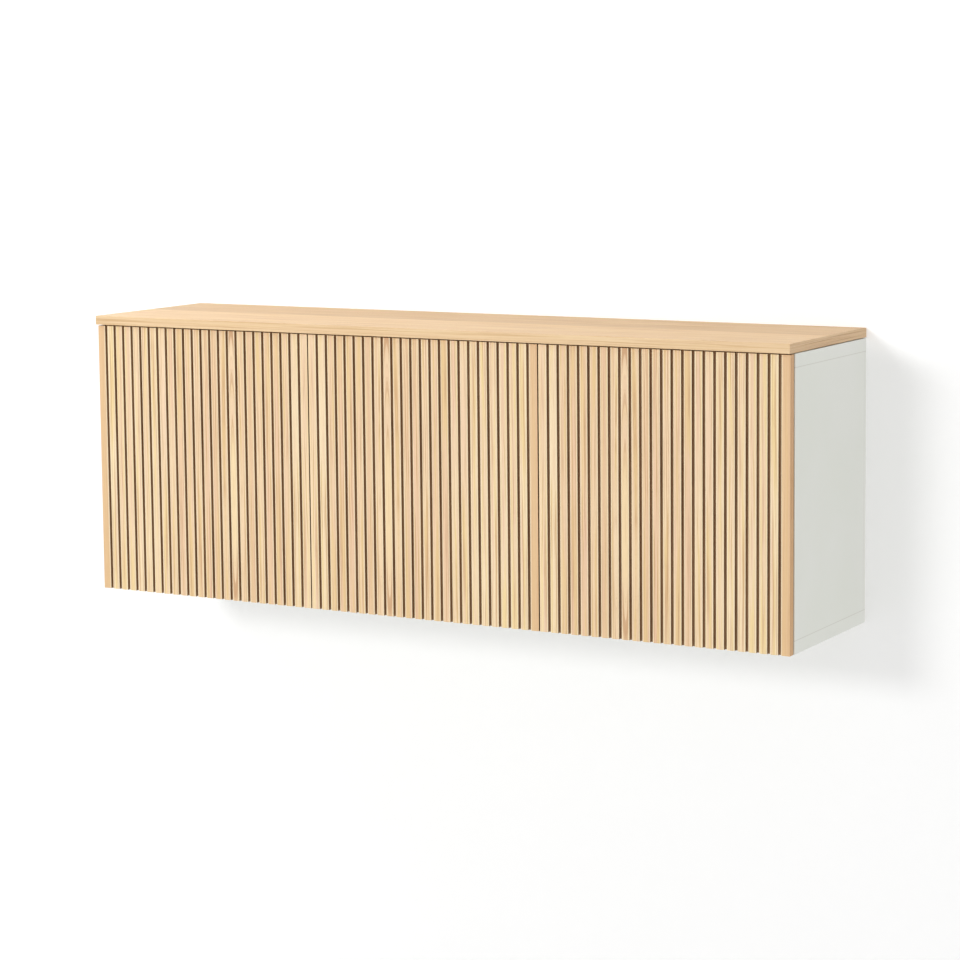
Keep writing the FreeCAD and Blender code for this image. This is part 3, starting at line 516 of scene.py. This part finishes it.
def slat_recipe():
    """A rounded strip swept upwards, repeated along X, each strip with its own tone."""
    tree, given, result = new_recipe("slat_row", ("Width", "Depth", "Height", "Arris", "Pitch",
                                                  "Extra Width"), ("Count",))
    section = step(tree, "GeometryNodeCurvePrimitiveQuadrilateral",
                   {"Width": given["Width"], "Height": given["Depth"]}, mode="RECTANGLE")
    rounded = step(tree, "GeometryNodeFilletCurve", {"Curve": section.outputs[0],
                                                     "Radius": given["Arris"], "Count": 3},
                   mode="POLY")
    top = step(tree, "ShaderNodeCombineXYZ", {"Z": given["Height"]})
    line = step(tree, "GeometryNodeCurvePrimitiveLine", {"End": top.outputs[0]})
    strip = step(tree, "GeometryNodeCurveToMesh", {"Curve": line.outputs[0],
                                                   "Profile Curve": rounded.outputs[0],
                                                   "Fill Caps": True})
    apart = step(tree, "ShaderNodeCombineXYZ", {"X": given["Pitch"]})
    row = step(tree, "GeometryNodeMeshLine", {"Count": given["Count"],
                                              "Offset": apart.outputs[0]},
               mode="OFFSET", count_mode="TOTAL")
    strips = step(tree, "GeometryNodeInstanceOnPoints", {"Points": row.outputs[0],
                                                         "Instance": strip.outputs[0]})
    chance = step(tree, "FunctionNodeRandomValue", {"Seed": SLAT_SEED}, data_type="FLOAT")
    toned = step(tree, "GeometryNodeStoreNamedAttribute",
                 {"Geometry": strips.outputs[0], "Name": "slat_tone",
                  "Value": chance.outputs[1]}, data_type="FLOAT", domain="INSTANCE")
    real = step(tree, "GeometryNodeRealizeInstances", {0: toned.outputs[0]})
    # The outer sides of the first and the last strip move outwards.
    x = split(tree, step(tree, "GeometryNodeInputPosition").outputs[0])[0]
    last = product(tree, sums(tree, "SUBTRACT", given["Count"], 1.0), given["Pitch"])
    outwards = sums(tree, "SUBTRACT", sums(tree, "GREATER_THAN", x, last),
                    sums(tree, "LESS_THAN", x, 0.0))
    wider = step(tree, "ShaderNodeCombineXYZ",
                 {"X": product(tree, outwards, given["Extra Width"])})
    moved = step(tree, "GeometryNodeSetPosition", {"Geometry": real.outputs[0],
                                                   "Offset": wider.outputs[0]})
    dressed = step(tree, "GeometryNodeSetMaterial", {"Geometry": moved.outputs[0],
                                                     "Material": given["Finish"]})
    tree.links.new(dressed.outputs[0], result[0])
    return tree


SLATS = slat_recipe()
for unit in UNITS:
    low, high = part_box(unit + "_door_slats")
    seed_point = bpy.data.meshes.new("start")
    seed_point.from_pydata([(0, 0, 0)], [], [])
    mesh = made_by(SLATS, seed_point,
                   {"Width": SLAT_PITCH - GROOVE, "Depth": high.y - low.y,
                    "Height": high.z - low.z, "Arris": SLAT_ARRIS, "Pitch": SLAT_PITCH,
                    "Extra Width": (high.x - low.x + GROOVE - CASE_PITCH) / 2,
                    "Count": SLAT_COUNT, "Finish": DOOR_BIRCH[unit]}, unit + "_slats")
    start = Vector([min(vertex.co[axis] for vertex in mesh.vertices) for axis in range(3)])
    mesh.transform(Matrix.Translation(low - start))
    show(unit + "_slats", mesh, unit + "_door_slats")

# --- hinges ---------------------------------------------------------------------------------------
# Two concealed hinges to a door, pressed from steel and nickel-plated: a cup let into the panel,
# two links, and an arm on a plate that is screwed to the case's side.
HINGE_ARRIS = 0.00025
NICKEL_TINTS = ((206, 199, 187), (186, 180, 170))


def plated(name, bright, dull, smooth, rough, brushing):
    """Plated metal, cloudy in tone, with fine marks along the way that it was drawn."""
    finish, tree, shader, where = new_finish(name, Metallic=1.0)
    cloud = noise(tree, where, 60, 3)
    marks = noise(tree, stretched(tree, where, brushing), 900, 3, 0.6)
    colour = tinted(tree, tint(*bright), dull, evened(tree, cloud))
    colour = tinted(tree, colour, [value * 0.75 for value in dull],
                    graded(tree, marks, 0.55, 0.8, 0.0, 0.3))
    wear = sums(tree, "ADD", product(tree, cloud, 0.6), product(tree, marks, 0.4))
    coated(tree, shader, colour, evened(tree, wear, smooth, rough))
    bumped(tree, shader, marks, 0.15, 0.00005)
    return finish


NICKEL = plated("satin_nickel", *NICKEL_TINTS, 0.24, 0.38, (1.0, 0.08, 1.0))
softened("hinge_plates", HINGE_ARRIS, NICKEL)
softened("hinge_arms", HINGE_ARRIS, NICKEL)
for unit in UNITS:
    for piece in ("hinge_cups", "outer_links", "inner_links"):
        softened("%s_%s" % (unit, piece), HINGE_ARRIS, NICKEL)

# --- screws ---------------------------------------------------------------------------------------
# Zinc-plated steel screws with crowned heads and a cross. They hold the top panel, the back
# panels, the hinge plates and the cups' wings.
ZINC_TINTS = ((208, 210, 211), (186, 186, 180))
THREAD_ROOT = 0.74
# Each kind's axis and pitch, and the cross's span and width in head radii and its depth.
SCREW_KINDS = [("top_panel_screws", 2, 0.0016), ("back_panel_screws", 1, 0.0013),
               ("hinge_plate_screws", 0, 0.0016)]
SCREW_KINDS += [(unit + "_cup_screws", 1, 0.0012) for unit in UNITS]
SCREW_CROSS = (1.15, 0.26, 0.0013)
Rod = namedtuple("Rod", "start way length head stem height")


def loose_pieces(node):
    """The points of each loose solid of a node."""
    shape = whole(node)
    left = set(shape.verts)
    groups = []
    while left:
        found = set()
        edge = {left.pop()}
        while edge:
            found |= edge
            edge = {line.other_vert(corner) for corner in edge
                    for line in corner.link_edges} - found
        left -= found
        groups.append([corner.co.copy() for corner in found])
    shape.free()
    return groups


def rods(node, axis, aim=None):
    """Each round piece of a node: its start, way, length, head radius, stem radius, head height.

    It starts at its thicker end, or else aim, told the piece's middle, gives the way: 1 or -1.
    """
    found = []
    for points in loose_pieces(node):
        low = Vector([min(point[i] for point in points) for i in range(3)])
        high = Vector([max(point[i] for point in points) for i in range(3)])
        middle = (low + high) / 2
        rows = {}
        for point in points:
            away = point - middle
            away[axis] = 0
            row = round(point[axis], 5)
            rows[row] = max(rows.get(row, 0), away.length)
        order = sorted(rows)
        sign = aim(middle) if aim else (1 if rows[order[0]] >= rows[order[-1]] else -1)
        order = order[::sign]
        start = middle.copy()
        start[axis] = low[axis] if sign > 0 else high[axis]
        way = Vector((0, 0, 0))
        way[axis] = sign
        found.append(Rod(start, way, high[axis] - low[axis], rows[order[0]],
                         rows[order[-1]], abs(order[1] - order[0])))
    return sorted(found, key=lambda rod: tuple(rod.start))


def axis_lines(name, pieces, profile):
    """Lines along the axes of round pieces, their points carrying the profile's radii."""
    points, edges, radii, ways, starts = [], [], [], [], []
    for rod in pieces:
        for number, (along, radius) in enumerate(profile(rod)):
            if number:
                edges.append((len(points) - 1, len(points)))
            points.append(rod.start + rod.way * along)
            radii.append(radius)
            ways.extend(rod.way)
            starts.append(number == 0)
    mesh = bpy.data.meshes.new(name)
    mesh.from_pydata(points, edges, [])
    mesh.attributes.new("radius", "FLOAT", "POINT").data.foreach_set("value", radii)
    mesh.attributes.new("way", "FLOAT_VECTOR", "POINT").data.foreach_set("vector", ways)
    mesh.attributes.new("start", "BOOLEAN", "POINT").data.foreach_set("value", starts)
    return mesh


def turned_recipe(crossed):
    """Turns a round piece on each axis line; the crossed kind presses a cross into its start."""
    tree, given, result = new_recipe("turned_with_cross" if crossed else "turned",
                                     ("Flute", "Cross Span", "Cross Width", "Cross Depth"),
                                     ("Sides",))
    radius = step(tree, "GeometryNodeInputNamedAttribute", {"Name": "radius"},
                  data_type="FLOAT").outputs[0]
    line = step(tree, "GeometryNodeMeshToCurve", {"Mesh": given["Geometry"]})
    ring = step(tree, "GeometryNodeCurveStar", {"Points": given["Sides"], "Twist": 0.0,
                                                "Inner Radius": given["Flute"],
                                                "Outer Radius": 1.0})
    skin = step(tree, "GeometryNodeCurveToMesh", {"Curve": line.outputs[0],
                                                  "Profile Curve": ring.outputs[0],
                                                  "Scale": radius, "Fill Caps": True})
    if crossed:
        way = step(tree, "GeometryNodeInputNamedAttribute", {"Name": "way"},
                   data_type="FLOAT_VECTOR").outputs[0]
        start = step(tree, "GeometryNodeInputNamedAttribute", {"Name": "start"},
                     data_type="BOOLEAN").outputs[0]
        turn = step(tree, "FunctionNodeAlignRotationToVector", {"Vector": way}, axis="Z")
        cut = step(tree, "GeometryNodeMeshBoolean", {"Mesh 1": skin.outputs[0]},
                   operation="DIFFERENCE", solver="EXACT")
        for long_side, short_side in (("X", "Y"), ("Y", "X")):
            size = step(tree, "ShaderNodeCombineXYZ", {long_side: given["Cross Span"],
                                                       short_side: given["Cross Width"],
                                                       "Z": given["Cross Depth"]})
            bar = step(tree, "GeometryNodeMeshCube", {"Size": size.outputs[0]})
            placed = step(tree, "GeometryNodeInstanceOnPoints",
                          {"Points": given["Geometry"], "Selection": start,
                           "Instance": bar.outputs[0], "Rotation": turn.outputs[0]})
            real = step(tree, "GeometryNodeRealizeInstances", {0: placed.outputs[0]})
            tree.links.new(real.outputs[0], cut.inputs["Mesh 2"])
        skin = cut
    real = step(tree, "GeometryNodeRealizeInstances", {0: skin.outputs[0]})
    dressed = step(tree, "GeometryNodeSetMaterial", {"Geometry": real.outputs[0],
                                                     "Material": given["Finish"]})
    tree.links.new(dressed.outputs[0], result[0])
    return tree


TURNED = turned_recipe(False)
TURNED_WITH_CROSS = turned_recipe(True)


def turned(node, pieces, profile, finish, cross=None, sides=12, flute=1.0):
    """Shows a node's round pieces, turned to a profile, with a cross in each head if wished."""
    values = {"Flute": flute, "Sides": sides, "Finish": finish}
    if cross:
        span, width, depth = cross
        values.update({"Cross Span": pieces[0].head * span,
                       "Cross Width": pieces[0].head * width, "Cross Depth": depth})
    host = axis_lines(node + "_axes", pieces, profile)
    mesh = made_by(TURNED_WITH_CROSS if cross else TURNED, host, values, node + "_turned")
    show(node + "_turned", mesh, node)


def threaded(start, end, radius, pitch):
    """The rows of a thread between two places along a screw."""
    rows = []
    for number in range(int((end - start) / pitch)):
        rows.append((start + number * pitch, radius * THREAD_ROOT))
        rows.append((start + (number + 0.5) * pitch, radius))
    return rows


def screw(pitch):
    """The profile of a screw: a crowned head, a plain neck, a thread and a point."""
    def profile(rod):
        """The places along the screw with their radii."""
        head, stem, neck = rod.head, rod.stem, rod.height
        rows = [(0.0, head * 0.8), (neck * 0.15, head * 0.93), (neck * 0.4, head),
                (neck * 0.9, head), (neck, head * 0.95), (neck + 0.00002, stem)]
        rows += threaded(neck + stem, rod.length - 2 * stem, stem, pitch)
        return rows + [(rod.length - 1.6 * stem, stem * 0.7), (rod.length, stem * 0.15)]
    return profile


ZINC = plated("bright_zinc", *ZINC_TINTS, 0.26, 0.42, (1.0, 1.0, 0.12))
for node, axis, pitch in SCREW_KINDS:
    turned(node, rods(node, axis), screw(pitch), ZINC, SCREW_CROSS)

# --- connecting bolts -----------------------------------------------------------------------------
# A threaded sleeve and a bolt with broad flat heads, zinc-plated. Four pairs pull neighbouring
# cases together through both sides.
SLEEVE_ARRIS = 0.0004
BOLT_PITCH = 0.001
BOLT_CROSS = (0.9, 0.17, 0.0013)
softened("connector_sleeves", SLEEVE_ARRIS, ZINC)
turned("connector_bolts", rods("connector_bolts", 0), screw(BOLT_PITCH), ZINC, BOLT_CROSS)

# --- cam bolts and cam locks ----------------------------------------------------------------------
# Each cam bolt is screwed into a board and its ball head is held by a die-cast drum in the side,
# which is turned with a screwdriver.
CAM_BOLT_BITE = 0.012
CAM_BOLT_PITCH = 0.0016
CAM_CROSS = (1.3, 0.24, 0.004)
DIE_CAST_TINTS = ((178, 178, 180), (154, 154, 157))


def cam_bolt(rod):
    """A thread in the board, a collar, a pin, a neck and the ball head."""
    length, stem = rod.length, rod.stem
    rows = [(0.0, stem * 0.6)] + threaded(0.0006, CAM_BOLT_BITE - 0.0012, stem, CAM_BOLT_PITCH)
    rows += [(CAM_BOLT_BITE - 0.0002, stem * 0.8), (CAM_BOLT_BITE, stem),
             (CAM_BOLT_BITE + 0.0015, stem), (CAM_BOLT_BITE + 0.0017, stem * 0.86),
             (length - 0.0085, stem * 0.86), (length - 0.0075, stem * 0.5),
             (length - 0.0045, stem * 0.5), (length - 0.0035, stem * 0.85)]
    return rows + [(length - 0.0012, stem * 0.85), (length, stem * 0.45)]


def cam_drum(rod):
    """A drum with a rounded rim and a waist for the bolt's head."""
    length, head = rod.length, rod.head
    return [(0.0, head * 0.92), (0.0003, head * 0.98), (0.0009, head), (length * 0.42, head),
            (length * 0.44, head * 0.8), (length * 0.8, head * 0.8), (length * 0.82, head),
            (length - 0.0006, head), (length, head * 0.94)]


def from_face(middle):
    """A drum starts at its side's inner face and runs away from the middle of the case."""
    return -1 if middle.x < round(middle.x / CASE_PITCH) * CASE_PITCH else 1


def from_board(middle):
    """A bolt starts in its board and points to the middle of the case."""
    return 1 if middle.z < CASE_MIDDLE else -1


def die_cast_zinc():
    """Grey cast metal with a grainy skin."""
    finish, tree, shader, where = new_finish("die_cast_zinc", Metallic=1.0)
    skin = noise(tree, where, 1400, 3, 0.6)
    cloud = evened(tree, noise(tree, where, 150, 2))
    colour = tinted(tree, tint(*DIE_CAST_TINTS[0]), DIE_CAST_TINTS[1], cloud)
    coated(tree, shader, colour, evened(tree, skin, 0.42, 0.6))
    bumped(tree, shader, skin, 0.3, 0.00008)
    return finish


turned("cam_bolts", rods("cam_bolts", 2, from_board), cam_bolt, ZINC)
turned("cam_locks", rods("cam_locks", 0, from_face), cam_drum, die_cast_zinc(), CAM_CROSS)

# --- dowels ---------------------------------------------------------------------------------------
# Fluted beech dowels with chamfered ends, glued upright where the sides meet the top and bottom
# boards.
DOWEL_CHAMFER = 0.0015
DOWEL_FLUTE = 0.94
BEECH_TINTS = ((222, 181, 136), (203, 158, 112))
FLECK_TINT = (165, 116, 74)


def from_low_end(middle):
    """The piece starts where its axis does."""
    return 1


def dowel(rod):
    """A plain rod with both ends chamfered."""
    return [(0.0, rod.head * 0.78), (DOWEL_CHAMFER, rod.head),
            (rod.length - DOWEL_CHAMFER, rod.head), (rod.length, rod.head * 0.78)]


def beech():
    """Pinkish beech with short darker flecks along its grain."""
    finish, tree, shader, where = new_finish("beech", IOR=1.46)
    fleck = noise(tree, stretched(tree, where, (1.0, 1.0, 0.14)), 2400, 2, 0.5)
    band = noise(tree, stretched(tree, where, (1.0, 1.0, 0.05)), 500, 3, 0.6)
    colour = tinted(tree, tint(*BEECH_TINTS[0]), BEECH_TINTS[1], evened(tree, band))
    colour = tinted(tree, colour, FLECK_TINT, graded(tree, fleck, 0.6, 0.7, 0.0, 0.7))
    coated(tree, shader, colour, evened(tree, band, 0.6, 0.75))
    bumped(tree, shader, band, 0.3, 0.0001)
    return finish


turned("dowels", rods("dowels", 2, from_low_end), dowel, beech(), sides=16, flute=DOWEL_FLUTE)

# --- shelf pins -----------------------------------------------------------------------------------
# Steel pins with domed ends, pushed into the sides; the loose shelf rests on four of them.
PIN_DOME = ((0.0, 0.5), (0.0003, 0.78), (0.0008, 0.95), (0.0014, 1.0))
PIN_RING = ((-0.0005, 1.0), (-0.0003, 0.84), (0.0003, 0.84), (0.0005, 1.0))


def shelf_pin(rod):
    """Domed ends, and a ring cut in the middle as far as the pin is pushed in."""
    dome = [(along, rod.head * share) for along, share in PIN_DOME]
    ring = [(rod.length / 2 + along, rod.head * share) for along, share in PIN_RING]
    return dome + ring + [(rod.length - along, radius) for along, radius in reversed(dome)]


turned("shelf_pins", rods("shelf_pins", 0, from_low_end), shelf_pin, ZINC)

# --- push latches ---------------------------------------------------------------------------------
# A white moulded housing under each top board, a grey plunger in it, and a small steel plate on
# the door that the plunger pushes against.
HOUSING_ARRIS = 0.0006
WHITE_TINTS = ((236, 236, 233), (229, 229, 225))
GREY_TINTS = ((150, 152, 154), (141, 143, 146))
STRIKE_CROSS = (0.42, 0.1, 0.0009)


def moulded(name, light, dark, smooth, rough):
    """Moulded plastic with a faint spark-eroded grain."""
    finish, tree, shader, where = new_finish(name, IOR=1.5)
    pits = noise(tree, where, 2200, 2, 0.6)
    colour = tinted(tree, tint(*light), dark, evened(tree, noise(tree, where, 25, 2)))
    coated(tree, shader, colour, evened(tree, pits, smooth, rough))
    bumped(tree, shader, pits, 0.25, 0.00006)
    return finish


def plunger(rod):
    """A rounded tip with a ring behind it."""
    length, head = rod.length, rod.head
    return [(0.0, head * 0.66), (0.0004, head * 0.86), (0.0012, head), (0.006, head),
            (0.0063, head * 0.88), (0.0072, head * 0.88), (0.0075, head),
            (length - 0.0005, head), (length, head * 0.9)]


def strike(rod):
    """A disc with a rolled rim."""
    return [(0.0, rod.head * 0.93), (rod.length * 0.25, rod.head * 0.985),
            (rod.length * 0.5, rod.head), (rod.length, rod.head)]


def from_high_end(middle):
    """The piece starts where its axis ends."""
    return -1


softened("latch_housings", HOUSING_ARRIS, moulded("white_plastic", *WHITE_TINTS, 0.38, 0.5), 3)
GREY_PLASTIC = moulded("grey_plastic", *GREY_TINTS, 0.35, 0.46)
for unit in UNITS:
    turned(unit + "_latch_plunger", rods(unit + "_latch_plunger", 1, from_low_end), plunger,
           GREY_PLASTIC)
    turned(unit + "_strike_plate", rods(unit + "_strike_plate", 1, from_high_end), strike, NICKEL,
           STRIKE_CROSS, sides=16)

# --- spacer pads ----------------------------------------------------------------------------------
# Thin washers moulded in grey plastic, threaded on the top panel's screws, which hold the panel
# just clear of the cases.
PAD_ARRIS = 0.0003
softened("spacer_pads", PAD_ARRIS, GREY_PLASTIC)

# --- stage ----------------------------------------------------------------------------------------
# A white wall behind the console, seen only from in front, and a pale floor far below, which glow
# for the eye and light nothing. A broad soft lamp stands in front, a smaller one above the left.
WALL_PLACE = 0.001
WALL_REACH = 9
WALL_GREY = 0.95
WALL_GLOW = 0.09
UPPER_GLOW = 0.18
UPPER_GLOW_RISE = (0.0, 0.12)
FLOOR_HEIGHT = -1.62
FLOOR_REACH = 14
FLOOR_GREY = 0.9
FLOOR_GLOW = 0.3
WORLD_LIGHT = 0.745


def looked_at(tree):
    """1 where the eye looks, straight, in a mirror or through glass, and 0 where light falls."""
    path = step(tree, "ShaderNodeLightPath").outputs
    return sums(tree, "MAXIMUM", path["Is Camera Ray"],
                sums(tree, "MAXIMUM", path["Is Glossy Ray"], path["Is Transmission Ray"]))


def backdrop(name, corners, grey, glow, upper_glow, lets_light_through):
    """A flat white sheet that takes shadows and can't be seen from behind."""
    finish = bpy.data.materials.new(name)
    finish.use_nodes = True
    tree = finish.node_tree
    tree.nodes.clear()
    seen = looked_at(tree)
    geometry = step(tree, "ShaderNodeNewGeometry").outputs
    matt = step(tree, "ShaderNodeBsdfDiffuse", {"Color": (grey, grey, grey, 1)})
    strength = graded(tree, split(tree, geometry["Position"])[2], *UPPER_GLOW_RISE,
                      glow, glow + upper_glow)
    light = step(tree, "ShaderNodeEmission", {"Strength": product(tree, seen, strength)})
    both = step(tree, "ShaderNodeAddShader", {0: matt.outputs[0], 1: light.outputs[0]})
    clear = step(tree, "ShaderNodeBsdfTransparent")
    shown = sums(tree, "SUBTRACT", 1.0, geometry["Backfacing"])
    if lets_light_through:
        shown = product(tree, shown, seen)
    choice = step(tree, "ShaderNodeMixShader", {0: shown, 1: clear.outputs[0],
                                                2: both.outputs[0]})
    step(tree, "ShaderNodeOutputMaterial", {0: choice.outputs[0]})
    mesh = bpy.data.meshes.new(name)
    mesh.from_pydata(corners, [], [(0, 1, 2, 3)])
    mesh.materials.append(finish)
    sheet = bpy.data.objects.new(name, mesh)
    bpy.context.scene.collection.objects.link(sheet)


backdrop("wall", [(-WALL_REACH, WALL_PLACE, FLOOR_HEIGHT), (WALL_REACH, WALL_PLACE, FLOOR_HEIGHT),
                  (WALL_REACH, WALL_PLACE, WALL_REACH), (-WALL_REACH, WALL_PLACE, WALL_REACH)],
         WALL_GREY, WALL_GLOW, UPPER_GLOW, True)
backdrop("floor", [(-FLOOR_REACH, -FLOOR_REACH, FLOOR_HEIGHT),
                   (FLOOR_REACH, -FLOOR_REACH, FLOOR_HEIGHT),
                   (FLOOR_REACH, FLOOR_REACH, FLOOR_HEIGHT),
                   (-FLOOR_REACH, FLOOR_REACH, FLOOR_HEIGHT)],
         FLOOR_GREY, FLOOR_GLOW, 0.0, False)

world = bpy.data.worlds.new("studio")
bpy.context.scene.world = world
world.use_nodes = True
background = world.node_tree.nodes["Background"]
world.node_tree.links.new(
    graded(world.node_tree, looked_at(world.node_tree), 0.0, 1.0, WORLD_LIGHT, 1.0, False),
    background.inputs["Strength"])
background.inputs["Color"].default_value = (1, 1, 1, 1)


def soft_lamp(name, place, width, height, power):
    """A broad white lamp that faces the console and stays out of the picture."""
    light = bpy.data.lights.new(name, "AREA")
    light.shape = "ELLIPSE"
    light.size = width
    light.size_y = height
    light.energy = power
    lamp = bpy.data.objects.new(name, light)
    bpy.context.scene.collection.objects.link(lamp)
    lamp.location = place
    lamp.rotation_euler = place.to_track_quat("Z", "Y").to_euler()
    lamp.visible_camera = False


soft_lamp("front_lamp", Vector((-2.2, -9.2, 2.4)), width=2.6, height=1.6, power=207)
soft_lamp("upper_lamp", Vector((-1.9, -1.1, 1.7)), width=1.5, height=1.5, power=15)

# --- camera ---------------------------------------------------------------------------------------
# A long lens to the right of the console and a little above it, turned towards it by the yaw,
# tipped down by the pitch and rolled by a hair.
CAMERA_PLACE = (3.121, -5.607, 0.617)
YAW, PITCH, ROLL = (math.radians(angle) for angle in (29.086, 6.145, -0.480))
camera_data = bpy.data.cameras.new("camera")
camera_data.lens = 101.784
camera_data.shift_x = -0.0333
camera_data.shift_y = -0.1
camera_data.clip_end = 100
camera = bpy.data.objects.new("camera", camera_data)
bpy.context.scene.collection.objects.link(camera)
forward = Vector((-math.sin(YAW) * math.cos(PITCH), math.cos(YAW) * math.cos(PITCH),
                  -math.sin(PITCH)))
level = forward.cross(Vector((0, 0, 1))).normalized()
upright = level.cross(forward)
right = level * math.cos(ROLL) + upright * math.sin(ROLL)
up = upright * math.cos(ROLL) - level * math.sin(ROLL)
camera.matrix_world = Matrix((right, up, -forward)).transposed().to_4x4()
camera.location = CAMERA_PLACE
bpy.context.scene.camera = camera
bpy.context.scene.view_settings.view_transform = "Standard"
